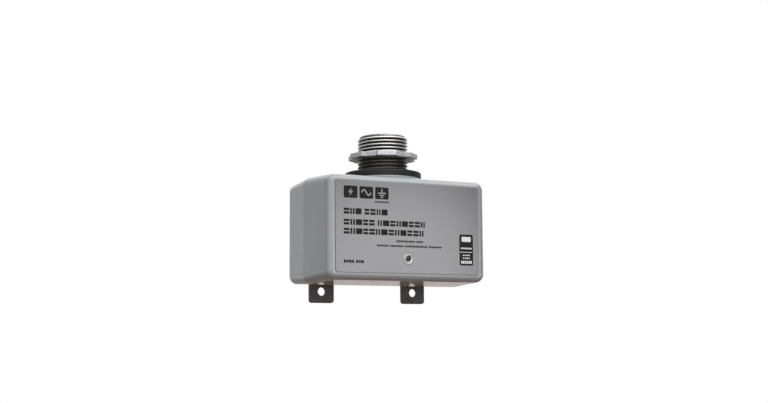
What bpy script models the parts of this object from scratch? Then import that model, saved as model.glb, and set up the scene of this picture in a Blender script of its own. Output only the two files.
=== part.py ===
"""Whole house surge protector.

A two-shell moulded enclosure with a threaded conduit nipple standing out of its top. The nipple goes
through a knockout of an electrical panel: a rubber gasket seats under the panel wall and a locknut screws
down on the other side. Inside, a circuit board carries the varistors, fuses and the status lamp.

Every length below is in millimetres and becomes metres where a mesh or a location is made.
The origin is on the nipple's axis, on the gasket's top face, where the panel wall seats.
X is the width, -Y faces the reader of the label, +Y faces the wall behind, +Z points out of the nipple.
"""

import math

import bmesh
import bpy
from mathutils import Matrix, Vector

MM = 0.001
GAP = 0.3                      # clearance between neighbouring pieces

# Enclosure, measured at the parting plane where it is largest
BOX_HALF_WIDTH = 46.3
BOX_HALF_HEIGHT = 27.6
BOX_CENTRE_Z = -32.2
FRONT_Y = -29.4
PARTING_Y = -1.8
REAR_Y = 20.8
DRAFT = 0.046                  # both shells narrow away from the parting plane
WALL = 2.5
CORNER_RADIUS = 4.5
INNER_CORNER_RADIUS = 2.0
FRONT_EDGE_RADIUS = 3.0
REAR_EDGE_RADIUS = 0.8

# Nipple, gasket and locknut, about the Z axis
NIPPLE_RADIUS = 13.1
NIPPLE_BORE_RADIUS = 10.4
NIPPLE_TOP_Z = 19.8
NIPPLE_RIM_RADIUS = 11.6
FLANGE_RADIUS = 17.0
FLANGE_FLAT_X = 16.7
FLANGE_TOP_Z = -9.3
FLANGE_BOTTOM_Z = -11.8
GASKET_RADIUS = 20.4
GASKET_INNER_RADIUS = 13.8
GASKET_THICKNESS = 3.3
GASKET_EDGE = 0.7
BOSS_RADIUS = 20.6
BOSS_BOTTOM_Z = -6.6
LOCKNUT_BOTTOM_Z = 7.25
LOCKNUT_THICKNESS = 2.7
LOCKNUT_BORE_RADIUS = 13.5
LOCKNUT_RING_RADIUS = 16.6
LOCKNUT_LUG_REACH = 18.0
LOCKNUT_LUG_HALF_WIDTH = 5.2
LOCKNUT_LUGS = 6
LOCKNUT_PHASE = math.radians(11.2)

# Cradle moulded under the top wall, which traps the nipple's flange between the shells
CRADLE_HALF_WIDTH = 19.8
CRADLE_FRONT_Y = -19.0
CRADLE_REAR_Y = 19.5
CRADLE_TOP_Z = -6.2
CRADLE_BOTTOM_Z = -15.2
POCKET_HALF_WIDTH = 17.3
POCKET_FRONT_Y = -17.3
POCKET_REAR_Y = 17.7
POCKET_TOP_Z = -9.0
POCKET_BOTTOM_Z = -13.2
LEAD_HOLE_RADIUS = 11.5
BORE_RADIUS = 13.5

# Seal between the shells, inside the wall at the parting plane
SEAL_OUTER_INSET = 0.7
SEAL_INNER_INSET = 1.8
SEAL_DEPTH = 1.4
SEAL_CLEARANCE = 0.15
SEAL_GATE_HALF_WIDTH = 15.5    # the seal stops on both sides of the nipple

# Label plate, stuck to the front face
LABEL_HALF_WIDTH = 40.95
LABEL_HALF_HEIGHT = 23.1
LABEL_RISE = 0.25
LABEL_BACK_Y = -29.55
LABEL_FRONT_Y = -29.95
LABEL_CORNER = 1.6

# Status lamp, about an axis along Y
LAMP_X = -0.4
LAMP_Z = BOX_CENTRE_Z - 15.1
BEZEL_RADIUS = 3.1
BEZEL_BORE_RADIUS = 1.75
LAMP_RADIUS = 1.45

# Circuit board, parallel to the front face
BOARD_HALF_WIDTH = 36.0
BOARD_HALF_HEIGHT = 20.5
BOARD_FRONT_Y = -21.6
BOARD_REAR_Y = -20.0
BOARD_SCREW_X = 32.0
BOARD_SCREW_RISE = 16.5
BOARD_SCREW_HOLE_RADIUS = 1.4
STANDOFF_RADIUS = 2.6
PIN_END_Y = BOARD_REAR_Y + GAP

# Screws that close the shells, driven from the rear
SHELL_SCREW_X = 40.2
SHELL_SCREW_RISE = 21.6
SHELL_HEAD_RADIUS = 2.6
SHELL_HEAD_RECESS = 2.6
SHELL_SCREW_HOLE_RADIUS = 1.6
FRONT_POST_RADIUS = 3.2
REAR_POST_RADIUS = 4.3

# Feet let into the rear face, hanging below the bottom
FOOT_X = 27.3
FOOT_WIDTH = 14.0
FOOT_THICKNESS = 2.2
FOOT_TOP_Z = -43.8
FOOT_BOTTOM_Z = -68.4
FOOT_CORNER = 1.6
FOOT_HOLE_RADIUS = 2.25
FOOT_HOLE_Z = -62.35
FOOT_SCREW_Z = (-47.4, -54.2)
FOOT_PAD_FRONT_Y = 11.5
FOOT_PAD_HALF_WIDTH = 8.6
FOOT_SCREW_SINK = 0.2          # the heads lie this far below the foot's rear face
FOOT_SCREW_HOLE_RADIUS = 1.5

OUTSIDE = 90.0                 # how far cutters reach past the object

TO_REAR = (-math.pi / 2, 0, 0)      # turns a profile's +Z towards +Y
TO_FRONT = (math.pi / 2, 0, 0)      # turns a profile's +Z towards -Y
TO_SIDE = (0, math.pi / 2, 0)       # turns a profile's +Z towards +X


# ---------------------------------------------------------------- scene and helpers

def clear_scene():
    for obj in list(bpy.data.objects):
        bpy.data.objects.remove(obj, do_unlink=True)


def new_collection(name):
    group = bpy.data.collections.new(name)
    bpy.context.scene.collection.children.link(group)
    return group


def new_material(name, colour, roughness, metallic=0.0):
    material = bpy.data.materials.new(name)
    material.use_nodes = True
    shader = material.node_tree.nodes["Principled BSDF"]
    shader.inputs["Base Color"].default_value = (*colour, 1.0)
    shader.inputs["Roughness"].default_value = roughness
    shader.inputs["Metallic"].default_value = metallic
    return material


def metres(values):
    return Vector(values) * MM


def add_part(name, mesh, location, material, rotation=(0, 0, 0)):
    obj = bpy.data.objects.new(name, mesh)
    obj.location = metres(location)
    obj.rotation_euler = rotation
    mesh.materials.append(material)
    PARTS.objects.link(obj)
    return obj


def add_cutter(name, mesh, location=(0, 0, 0), rotation=(0, 0, 0)):
    obj = bpy.data.objects.new(name, mesh)
    obj.location = metres(location)
    obj.rotation_euler = rotation
    obj.hide_render = True
    obj.display_type = "WIRE"
    CUTTERS.objects.link(obj)
    return obj


def combine(target, tool, operation):
    modifier = target.modifiers.new(tool.name, "BOOLEAN")
    modifier.operation = operation
    modifier.object = tool
    modifier.solver = "EXACT"


def cut(target, *tools):
    for tool in tools:
        combine(target, tool, "DIFFERENCE")


def join(target, *tools):
    for tool in tools:
        combine(target, tool, "UNION")


def mesh_from(bm, name):
    mesh = bpy.data.meshes.new(name)
    bm.to_mesh(mesh)
    bm.free()
    return mesh


def edges_along(bm, axis):
    """Edges that run mainly along one axis, 0 for X, 1 for Y, 2 for Z."""
    found = []
    for edge in bm.edges:
        step = edge.verts[1].co - edge.verts[0].co
        if abs(step[axis]) > 0.9 * step.length:
            found.append(edge)
    return found


def bevel(bm, edges, radius, segments):
    bmesh.ops.bevel(bm, geom=edges, offset=radius * MM, offset_type="OFFSET", segments=segments,
                    profile=0.5, affect="EDGES", clamp_overlap=True)


def block(name, size, axis=None, radius=0.0, segments=4):
    """A box about its own centre, with the edges along one axis rounded."""
    bm = bmesh.new()
    bmesh.ops.create_cube(bm, size=1.0, matrix=Matrix.Diagonal((*metres(size), 1.0)))
    if axis is not None:
        bevel(bm, edges_along(bm, axis), radius, segments)
    return mesh_from(bm, name)


def block_cutter(name, low, high):
    size = [b - a for a, b in zip(low, high)]
    centre = [(a + b) / 2 for a, b in zip(low, high)]
    return add_cutter(name, block(name, size), centre)


def drafted_block(name, half_width, half_height, near_y, far_y, corner, rim, rim_segments):
    """A box that narrows with the draft from the parting plane to its far end, with rounded corners
    along Y and a rounded rim at the far end. It is built about the box's own centre line."""
    bm = bmesh.new()
    bmesh.ops.create_cube(bm, size=2.0)
    for vert in bm.verts:
        y = near_y if vert.co.y * (far_y - near_y) < 0 else far_y
        shrink = DRAFT * abs(y - PARTING_Y)
        if (y - PARTING_Y) * (far_y - near_y) < 0:
            shrink = -shrink
        vert.co = metres((vert.co.x * (half_width - shrink), y, vert.co.z * (half_height - shrink)))
    bmesh.ops.recalc_face_normals(bm, faces=bm.faces)
    bevel(bm, edges_along(bm, 1), corner, 5)
    if rim:
        far = [e for e in bm.edges if all(abs(v.co.y - far_y * MM) < 1e-6 for v in e.verts)]
        bevel(bm, far, rim, rim_segments)
    return mesh_from(bm, name)


def pegs(name, centres, radius, low_y, high_y, sides=16):
    """Several cylinders along Y in one mesh, at (x, z) centres."""
    bm = bmesh.new()
    turn = Matrix.Rotation(math.pi / 2, 4, "X")
    for x, z in centres:
        place = Matrix.Translation(metres((x, (low_y + high_y) / 2, z))) @ turn
        bmesh.ops.create_cone(bm, cap_ends=True, segments=sides, radius1=radius * MM,
                              radius2=radius * MM, depth=(high_y - low_y) * MM, matrix=place)
    return mesh_from(bm, name)


def peg_cutter(name, centres, radius, low_y, high_y, sides=16):
    return add_cutter(name, pegs(name, centres, radius, low_y, high_y, sides))


def upright_cutter(name, radius, low_z, high_z, sides=48):
    bm = bmesh.new()
    bmesh.ops.create_cone(bm, cap_ends=True, segments=sides, radius1=radius * MM, radius2=radius * MM,
                          depth=(high_z - low_z) * MM)
    return add_cutter(name, mesh_from(bm, name), (0, 0, (low_z + high_z) / 2))


def turned(name, profile, closed):
    """A profile of (radius, height) points that runs down its outer side, ready to be turned."""
    points = [tuple(metres((r, 0, z))) for r, z in profile]
    edges = [(i, i + 1) for i in range(len(points) - 1)]
    if closed:
        edges.append((len(points) - 1, 0))
    mesh = bpy.data.meshes.new(name)
    mesh.from_pydata(points, edges, [])
    return mesh


def turn(obj, steps):
    modifier = obj.modifiers.new("turn", "SCREW")
    modifier.axis = "Z"
    modifier.steps = steps
    modifier.render_steps = steps
    modifier.use_merge_vertices = True
    modifier.merge_threshold = 0.00001


def arc(centre, radius, start, end, steps):
    """Points on an arc in a profile's plane, angles in degrees from +X."""
    points = []
    for i in range(steps + 1):
        angle = math.radians(start + (end - start) * i / steps)
        points.append((centre[0] + radius * math.cos(angle), centre[1] + radius * math.sin(angle)))
    return points


def corners(x, rise):
    return [(sx * x, BOX_CENTRE_Z + sz * rise) for sz in (1, -1) for sx in (-1, 1)]


def smooth_parts():
    """Applies the modifiers and shades each part smooth, with its real edges kept sharp."""
    graph = bpy.context.evaluated_depsgraph_get()
    finished = [(obj, bpy.data.meshes.new_from_object(obj.evaluated_get(graph))) for obj in PARTS.objects]
    for obj, mesh in finished:
        obj.modifiers.clear()
        obj.data = mesh
        mesh.shade_smooth()
        mesh.set_sharp_from_angle(angle=math.radians(32))


# ---------------------------------------------------------------- enclosure

def cavity(name, near_y, far_y):
    mesh = drafted_block(name, BOX_HALF_WIDTH - WALL, BOX_HALF_HEIGHT - WALL, near_y, far_y,
                         INNER_CORNER_RADIUS, 0, 0)
    return add_cutter(name, mesh, (0, 0, BOX_CENTRE_Z))


def seal_loop(name, clearance):
    """The loop that lies in the middle of the wall at the parting plane, open at the nipple."""
    outer = SEAL_OUTER_INSET - clearance
    inner = SEAL_INNER_INSET + clearance
    depth = SEAL_DEPTH + 2 * clearance
    place = (0, PARTING_Y, BOX_CENTRE_Z)
    size = (2 * (BOX_HALF_WIDTH - outer), depth, 2 * (BOX_HALF_HEIGHT - outer))
    loop = block(name, size, 1, CORNER_RADIUS - outer)
    hole_size = (2 * (BOX_HALF_WIDTH - inner), depth + 2, 2 * (BOX_HALF_HEIGHT - inner))
    hole = add_cutter(name + "_hole", block(name + "_hole", hole_size, 1, CORNER_RADIUS - inner), place)
    gate = block_cutter(name + "_gate", (-SEAL_GATE_HALF_WIDTH, PARTING_Y - 3, BOX_CENTRE_Z + 20),
                        (SEAL_GATE_HALF_WIDTH, PARTING_Y + 3, 2))
    return loop, place, hole, gate


def shell_features():
    """Solids and cuts that both shells share, each split at the parting plane."""
    boss = upright_cutter("boss", BOSS_RADIUS, BOSS_BOTTOM_Z, -GASKET_THICKNESS - GAP)
    cradle = block_cutter("cradle", (-CRADLE_HALF_WIDTH, CRADLE_FRONT_Y, CRADLE_BOTTOM_Z),
                          (CRADLE_HALF_WIDTH, CRADLE_REAR_Y, CRADLE_TOP_Z))
    pocket = block_cutter("flange_pocket", (-POCKET_HALF_WIDTH, POCKET_FRONT_Y, POCKET_BOTTOM_Z),
                          (POCKET_HALF_WIDTH, POCKET_REAR_Y, POCKET_TOP_Z))
    bore = upright_cutter("nipple_bore", BORE_RADIUS, POCKET_TOP_Z - 1.0, -1.0)
    leads = upright_cutter("lead_hole", LEAD_HOLE_RADIUS, -17.0, -12.5, 32)
    mesh, place, hole, gate = seal_loop("seal_groove", SEAL_CLEARANCE)
    groove = add_cutter("seal_groove", mesh, place)
    cut(groove, hole, gate)
    return (boss, cradle), (pocket, bore, leads, groove)


def front_shell(material, solids, hollows):
    mesh = drafted_block("front_shell", BOX_HALF_WIDTH, BOX_HALF_HEIGHT, PARTING_Y, FRONT_Y,
                         CORNER_RADIUS, FRONT_EDGE_RADIUS, 4)
    shell = add_part("front_shell", mesh, (0, 0, BOX_CENTRE_Z), material)
    screws = corners(SHELL_SCREW_X, SHELL_SCREW_RISE)
    board_screws = corners(BOARD_SCREW_X, BOARD_SCREW_RISE)
    inner_y = FRONT_Y + 1
    cut(shell, cavity("front_cavity", PARTING_Y + 1, FRONT_Y + WALL + 0.1))
    join(shell, *solids,
         peg_cutter("front_posts", screws, FRONT_POST_RADIUS, inner_y, PARTING_Y + 1),
         peg_cutter("standoffs", board_screws, STANDOFF_RADIUS, inner_y, BOARD_FRONT_Y - GAP))
    cut(shell, *hollows,
        block_cutter("behind_parting", (-OUTSIDE, PARTING_Y - GAP / 2, -OUTSIDE), (OUTSIDE,) * 3),
        peg_cutter("front_post_holes", screws, SHELL_SCREW_HOLE_RADIUS, -12.0, 2.0, 12),
        peg_cutter("standoff_holes", board_screws, BOARD_SCREW_HOLE_RADIUS, -25.6, -20.0, 12),
        peg_cutter("lamp_hole", [(LAMP_X, LAMP_Z)], BEZEL_RADIUS + GAP, -32.0, -25.0, 24))
    return shell


def rear_shell(material, solids, hollows):
    mesh = drafted_block("rear_shell", BOX_HALF_WIDTH, BOX_HALF_HEIGHT, PARTING_Y, REAR_Y,
                         CORNER_RADIUS, REAR_EDGE_RADIUS, 2)
    shell = add_part("rear_shell", mesh, (0, 0, BOX_CENTRE_Z), material)
    screws = corners(SHELL_SCREW_X, SHELL_SCREW_RISE)
    cut(shell, cavity("rear_cavity", PARTING_Y - 1, REAR_Y - WALL - 0.1))
    join(shell, *solids, peg_cutter("rear_posts", screws, REAR_POST_RADIUS, PARTING_Y - 1, REAR_Y - 1))
    for side in (-1, 1):
        low = (side * FOOT_X - FOOT_PAD_HALF_WIDTH, FOOT_PAD_FRONT_Y, -58.0)
        high = (side * FOOT_X + FOOT_PAD_HALF_WIDTH, REAR_Y - 0.8, FOOT_TOP_Z + 1.5)
        join(shell, block_cutter(f"foot_pad_{side}", low, high))
    cut(shell, *hollows,
        block_cutter("before_parting", (-OUTSIDE,) * 3, (OUTSIDE, PARTING_Y + GAP / 2, OUTSIDE)),
        peg_cutter("rear_post_holes", screws, SHELL_SCREW_HOLE_RADIUS, -5.0, 24.0, 12),
        peg_cutter("head_recesses", screws, SHELL_HEAD_RADIUS + GAP, REAR_Y - SHELL_HEAD_RECESS, 24.0, 20))
    half = FOOT_WIDTH / 2 + GAP
    for side in (-1, 1):
        low = (side * FOOT_X - half, REAR_Y - FOOT_THICKNESS - GAP, -66)
        cut(shell, block_cutter(f"foot_slot_{side}", low, (side * FOOT_X + half, 24, FOOT_TOP_Z + GAP)))
    holes = [(side * FOOT_X, z) for side in (-1, 1) for z in FOOT_SCREW_Z]
    cut(shell, peg_cutter("foot_screw_holes", holes, FOOT_SCREW_HOLE_RADIUS, 12.4, 20.0, 12))
    return shell


def shell_seal(material):
    mesh, place, hole, gate = seal_loop("shell_seal", 0)
    seal = add_part("shell_seal", mesh, place, material)
    cut(seal, hole, gate)


def shell_screws(material):
    seat = REAR_Y - SHELL_HEAD_RECESS + GAP
    profile = [(0, 1.8), (1.6, 1.8), (SHELL_HEAD_RADIUS, 1.0), (SHELL_HEAD_RADIUS, 0), (1.3, 0), (1.3, -27.0),
               (0, -28.5)]
    for i, (x, z) in enumerate(corners(SHELL_SCREW_X, SHELL_SCREW_RISE), 1):
        name = f"shell_screw_{i}"
        turn(add_part(name, turned(name, profile, False), (x, seat, z), material, TO_REAR), 14)


def label_plate(material):
    size = (2 * LABEL_HALF_WIDTH, LABEL_BACK_Y - LABEL_FRONT_Y, 2 * LABEL_HALF_HEIGHT)
    plate = add_part("label_plate", block("label_plate", size, 1, LABEL_CORNER),
                     (0, (LABEL_BACK_Y + LABEL_FRONT_Y) / 2, BOX_CENTRE_Z + LABEL_RISE), material)
    cut(plate, peg_cutter("label_hole", [(LAMP_X, LAMP_Z)], BEZEL_RADIUS + 0.15, -32.0, -28.0, 28))


# ---------------------------------------------------------------- feet

def countersunk(name, grow, length):
    """A countersunk screw or, grown a little, the hole it sits in; its head's top is at z = 0."""
    head = 2.5 + grow
    shank = 1.2 + grow
    profile = [(0, grow), (head, grow), (head, -0.3), (shank, -1.5), (shank, -length), (0, -length)]
    return turned(name, profile, False)


def foot(name, x, steel, screw_steel):
    height = FOOT_TOP_Z - FOOT_BOTTOM_Z
    centre = (x, REAR_Y - FOOT_THICKNESS / 2, (FOOT_TOP_Z + FOOT_BOTTOM_Z) / 2)
    plate = add_part(name, block(name, (FOOT_WIDTH, FOOT_THICKNESS, height), 1, FOOT_CORNER), centre, steel)
    cut(plate, peg_cutter(name + "_hole", [(x, FOOT_HOLE_Z)], FOOT_HOLE_RADIUS, REAR_Y - 5, REAR_Y + 3, 32))
    for i, z in enumerate(FOOT_SCREW_Z, 1):
        place = (x, REAR_Y - FOOT_SCREW_SINK, z)
        sink = add_cutter(f"{name}_sink_{i}", countersunk(f"{name}_sink_{i}", GAP, 6.0), place, TO_REAR)
        turn(sink, 16)
        cut(plate, sink)
        screw = add_part(f"{name}_screw_{i}", countersunk(f"{name}_screw_{i}", 0, 7.6), place,
                         screw_steel, TO_REAR)
        turn(screw, 16)


# ---------------------------------------------------------------- conduit fitting

def conduit_nipple(material):
    profile = [(NIPPLE_BORE_RADIUS, NIPPLE_TOP_Z), (NIPPLE_RIM_RADIUS, NIPPLE_TOP_Z),
               (NIPPLE_RADIUS, NIPPLE_TOP_Z - 1.5), (NIPPLE_RADIUS, FLANGE_TOP_Z),
               (FLANGE_RADIUS, FLANGE_TOP_Z), (FLANGE_RADIUS, FLANGE_BOTTOM_Z),
               (NIPPLE_BORE_RADIUS + 0.6, FLANGE_BOTTOM_Z), (NIPPLE_BORE_RADIUS, FLANGE_BOTTOM_Z + 0.6)]
    nipple = add_part("conduit_nipple", turned("conduit_nipple", profile, True), (0, 0, 0), material)
    turn(nipple, 48)
    for side in (-1, 1):
        near, far = sorted((side * FLANGE_FLAT_X, side * 25.0))
        cut(nipple, block_cutter(f"flange_flat_{side}", (near, -20, -13), (far, 20, -8)))


def bond_ring(material):
    """A ring terminal under the flange that ties the metal nipple to the ground lead."""
    profile = [(10.8, -12.1), (14.6, -12.1), (14.6, -12.9), (10.8, -12.9)]
    ring = add_part("bond_ring", turned("bond_ring", profile, True), (0, 0, 0), material)
    turn(ring, 32)
    join(ring, block_cutter("bond_tongue", (-16.9, -3, -12.9), (-12, 3, -12.1)))


def nipple_gasket(material):
    edge = GASKET_EDGE
    profile = [(GASKET_INNER_RADIUS, 0), (GASKET_RADIUS - edge, 0), (GASKET_RADIUS - 0.3 * edge, -0.3 * edge),
               (GASKET_RADIUS, -edge), (GASKET_RADIUS, -GASKET_THICKNESS + 0.2),
               (GASKET_RADIUS - 0.2, -GASKET_THICKNESS), (GASKET_INNER_RADIUS, -GASKET_THICKNESS)]
    turn(add_part("nipple_gasket", turned("nipple_gasket", profile, True), (0, 0, 0), material), 48)


def conduit_locknut(material):
    top = LOCKNUT_THICKNESS
    profile = [(LOCKNUT_BORE_RADIUS, top), (LOCKNUT_RING_RADIUS, top), (LOCKNUT_RING_RADIUS, 0),
               (LOCKNUT_BORE_RADIUS, 0)]
    nut = add_part("conduit_locknut", turned("conduit_locknut", profile, True), (0, 0, LOCKNUT_BOTTOM_Z),
                   material)
    turn(nut, 48)
    bm = bmesh.new()
    size = metres((LOCKNUT_LUG_REACH - 15.0, 2 * LOCKNUT_LUG_HALF_WIDTH, top))
    offset = Matrix.Translation(metres(((LOCKNUT_LUG_REACH + 15.0) / 2, 0, top / 2)))
    for i in range(LOCKNUT_LUGS):
        spin = Matrix.Rotation(LOCKNUT_PHASE + i * 2 * math.pi / LOCKNUT_LUGS, 4, "Z")
        bmesh.ops.create_cube(bm, size=1.0, matrix=spin @ offset @ Matrix.Diagonal((*size, 1.0)))
    join(nut, add_cutter("locknut_lugs", mesh_from(bm, "locknut_lugs"), (0, 0, LOCKNUT_BOTTOM_Z)))


# ---------------------------------------------------------------- status lamp

def status_lamp(bezel_material, lamp_material, spacer_material):
    place = (LAMP_X, 0, LAMP_Z)
    rim = -LABEL_FRONT_Y
    bezel = [(BEZEL_BORE_RADIUS, rim - 1.0), (BEZEL_RADIUS - 0.25, rim), (BEZEL_RADIUS, rim),
             (BEZEL_RADIUS, 26.5), (4.2, 26.5), (4.2, 25.7), (BEZEL_BORE_RADIUS, 25.7)]
    turn(add_part("led_bezel", turned("led_bezel", bezel, True), place, bezel_material, TO_FRONT), 28)
    dome = arc((0, 27.5), LAMP_RADIUS, 90, 0, 5)
    dome[0] = (0, dome[0][1])
    lamp_profile = dome + [(LAMP_RADIUS, 24.4), (1.75, 24.4), (1.75, 23.6), (0, 23.6)]
    lamp = add_part("status_led", turned("status_led", lamp_profile, False), place, lamp_material, TO_FRONT)
    turn(lamp, 20)
    pins = [(LAMP_X - 0.6, LAMP_Z), (LAMP_X + 0.6, LAMP_Z)]
    join(lamp, peg_cutter("led_pins", pins, 0.25, -24.0, BOARD_FRONT_Y - GAP, 8))
    spacer = [(1.0, 23.3), (2.0, 23.3), (2.0, 21.9), (1.0, 21.9)]
    turn(add_part("led_spacer", turned("led_spacer", spacer, True), place, spacer_material, TO_FRONT), 16)


# ---------------------------------------------------------------- circuit

def circuit_board(material):
    size = (2 * BOARD_HALF_WIDTH, BOARD_REAR_Y - BOARD_FRONT_Y, 2 * BOARD_HALF_HEIGHT)
    board = add_part("circuit_board", block("circuit_board", size),
                     (0, (BOARD_FRONT_Y + BOARD_REAR_Y) / 2, BOX_CENTRE_Z), material)
    cut(board, peg_cutter("board_holes", corners(BOARD_SCREW_X, BOARD_SCREW_RISE), BOARD_SCREW_HOLE_RADIUS,
                          -24.0, -18.0, 12))


def board_screws(material):
    profile = [(0, 1.6), (1.4, 1.6), (2.4, 0.9), (2.4, 0), (1.1, 0), (1.1, -5.0), (0, -5.6)]
    for i, (x, z) in enumerate(corners(BOARD_SCREW_X, BOARD_SCREW_RISE), 1):
        name = f"board_screw_{i}"
        turn(add_part(name, turned(name, profile, False), (x, PIN_END_Y, z), material, TO_REAR), 12)


def varistors(material):
    radius = 10.5
    half = 2.5
    centre_y = -8.5
    centre_z = BOX_CENTRE_Z - 2.5
    profile = [(0, half), (radius - 1.2, half), (radius - 0.2, half - 0.9), (radius - 0.2, 0.9 - half),
               (radius - 1.2, -half), (0, -half)]
    for i, x in enumerate((-29.0, -21.0, 21.0, 29.0), 1):
        name = f"varistor_{i}"
        disc = add_part(name, turned(name, profile, False), (x, centre_y, centre_z), material, TO_SIDE)
        turn(disc, 24)
        pins = [(x, centre_z - 3.75), (x, centre_z + 3.75)]
        join(disc, peg_cutter(name + "_pins", pins, 0.4, PIN_END_Y, centre_y - 5, 8))


def axial(name, radius, length, x, z, material):
    """A cylinder along X whose wire leads bend down to the board."""
    height = PIN_END_Y + radius + 1.2
    half = length / 2
    profile = [(0, half), (radius - 0.3, half), (radius, half - 0.3), (radius, 0.3 - half),
               (radius - 0.3, -half), (0, -half)]
    body = add_part(name, turned(name, profile, False), (x, height, z), material, TO_SIDE)
    turn(body, 16)
    reach = half + 1.8
    curve = bpy.data.curves.new(name + "_leads", "CURVE")
    curve.dimensions = "3D"
    curve.bevel_depth = 0.35 * MM
    curve.bevel_resolution = 1
    curve.use_fill_caps = True
    spline = curve.splines.new("POLY")
    path = [(-reach, PIN_END_Y - height, 0), (-reach, 0, 0), (reach, 0, 0), (reach, PIN_END_Y - height, 0)]
    spline.points.add(len(path) - 1)
    for point, place in zip(spline.points, path):
        point.co = (*metres(place), 1.0)
    wire = bpy.data.objects.new(name + "_wire", curve)
    CUTTERS.objects.link(wire)
    mesh = bpy.data.meshes.new_from_object(wire.evaluated_get(bpy.context.evaluated_depsgraph_get()))
    bpy.data.objects.remove(wire, do_unlink=True)
    bm = bmesh.new()
    bm.from_mesh(mesh)
    bmesh.ops.remove_doubles(bm, verts=bm.verts, dist=0.00001)
    join(body, add_cutter(name + "_leads", mesh_from(bm, name + "_leads"), (x, height, z)))


def film_capacitor(material):
    centre = (0, PIN_END_Y + 1.0 + 7.5, BOX_CENTRE_Z - 3.0)
    body = add_part("film_capacitor", block("film_capacitor", (18, 15, 9), 0, 0.8, 2), centre, material)
    pins = [(-7.5, centre[2]), (7.5, centre[2])]
    join(body, peg_cutter("capacitor_pins", pins, 0.4, PIN_END_Y, centre[1] - 5, 8))


def lead_terminals(material):
    """Blade terminals where the line, neutral and ground leads plug on."""
    low, high = PIN_END_Y, PIN_END_Y + 9.0
    z = BOX_CENTRE_Z + 14.6
    eye_radius = 0.9 * MM
    for i, x in enumerate((-27.6, -23.2, 23.2, 27.6), 1):
        name = f"lead_terminal_{i}"
        blade_block = block(name, (0.8, high - low, 6.3), 0, 1.0, 1)
        blade = add_part(name, blade_block, (x, (low + high) / 2, z), material)
        bm = bmesh.new()
        bmesh.ops.create_cone(bm, cap_ends=True, segments=12, radius1=eye_radius, radius2=eye_radius,
                              depth=3 * MM)
        cut(blade, add_cutter(name + "_eye", mesh_from(bm, name + "_eye"), (x, high - 3.0, z), TO_SIDE))


def insulation_sheet(material):
    back_y = FOOT_PAD_FRONT_Y - GAP
    add_part("insulation_sheet", block("insulation_sheet", (68, 0.5, 38), 1, 2.0, 2),
             (0, back_y - 0.25, BOX_CENTRE_Z - 4.0), material)


# ---------------------------------------------------------------- assembly

def build():
    grey = new_material("enclosure_grey", (0.27, 0.29, 0.30), 0.35)
    rubber = new_material("black_rubber", (0.02, 0.021, 0.023), 0.6)
    zinc = new_material("zinc_plate", (0.62, 0.66, 0.70), 0.3, 1.0)
    steel = new_material("nipple_steel", (0.5, 0.5, 0.5), 0.28, 1.0)
    painted = new_material("foot_paint", (0.045, 0.042, 0.037), 0.45)
    label = new_material("label_film", (0.36, 0.37, 0.38), 0.35, 0.5)
    board = new_material("board_green", (0.03, 0.16, 0.06), 0.5)
    blue = new_material("varistor_epoxy", (0.02, 0.09, 0.35), 0.4)
    yellow = new_material("capacitor_case", (0.65, 0.5, 0.08), 0.45)
    ceramic = new_material("fuse_ceramic", (0.75, 0.73, 0.68), 0.5)
    dark = new_material("lamp_dark", (0.012, 0.012, 0.012), 0.12)
    tin = new_material("tinned_brass", (0.72, 0.68, 0.55), 0.3, 1.0)
    fibre = new_material("insulation_fibre", (0.42, 0.4, 0.34), 0.8)

    solids, hollows = shell_features()
    front_shell(grey, solids, hollows)
    rear_shell(grey, solids, hollows)
    shell_seal(rubber)
    shell_screws(zinc)
    label_plate(label)
    foot("left_foot", -FOOT_X, painted, zinc)
    foot("right_foot", FOOT_X, painted, zinc)
    conduit_nipple(steel)
    bond_ring(tin)
    nipple_gasket(rubber)
    conduit_locknut(zinc)
    status_lamp(label, dark, fibre)
    circuit_board(board)
    board_screws(zinc)
    varistors(blue)
    axial("thermal_cutoff_1", 2.0, 9.5, -21.5, BOX_CENTRE_Z - 17.2, ceramic)
    axial("thermal_cutoff_2", 2.0, 9.5, 21.5, BOX_CENTRE_Z - 17.2, ceramic)
    axial("line_fuse_1", 2.7, 14.0, -10.4, BOX_CENTRE_Z + 12.0, ceramic)
    axial("line_fuse_2", 2.7, 14.0, 10.4, BOX_CENTRE_Z + 12.0, ceramic)
    axial("lamp_resistor", 1.6, 8.0, 8.5, BOX_CENTRE_Z - 14.0, fibre)
    axial("lamp_diode", 1.3, 5.0, -8.5, BOX_CENTRE_Z - 14.0, dark)
    film_capacitor(yellow)
    lead_terminals(tin)
    insulation_sheet(fibre)
    smooth_parts()


clear_scene()
PARTS = new_collection("whole_house_surge_protector")
CUTTERS = new_collection("cutters")
build()
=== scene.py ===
"""Looks of the whole house surge protector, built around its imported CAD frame.

Lengths are in metres; MM turns the millimetres of small details into metres. Every piece sits at the
origin with its place in its mesh, as the CAD nodes do.
"""

import math

import bmesh
import bpy
import numpy as np
from mathutils import Matrix, Vector


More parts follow.
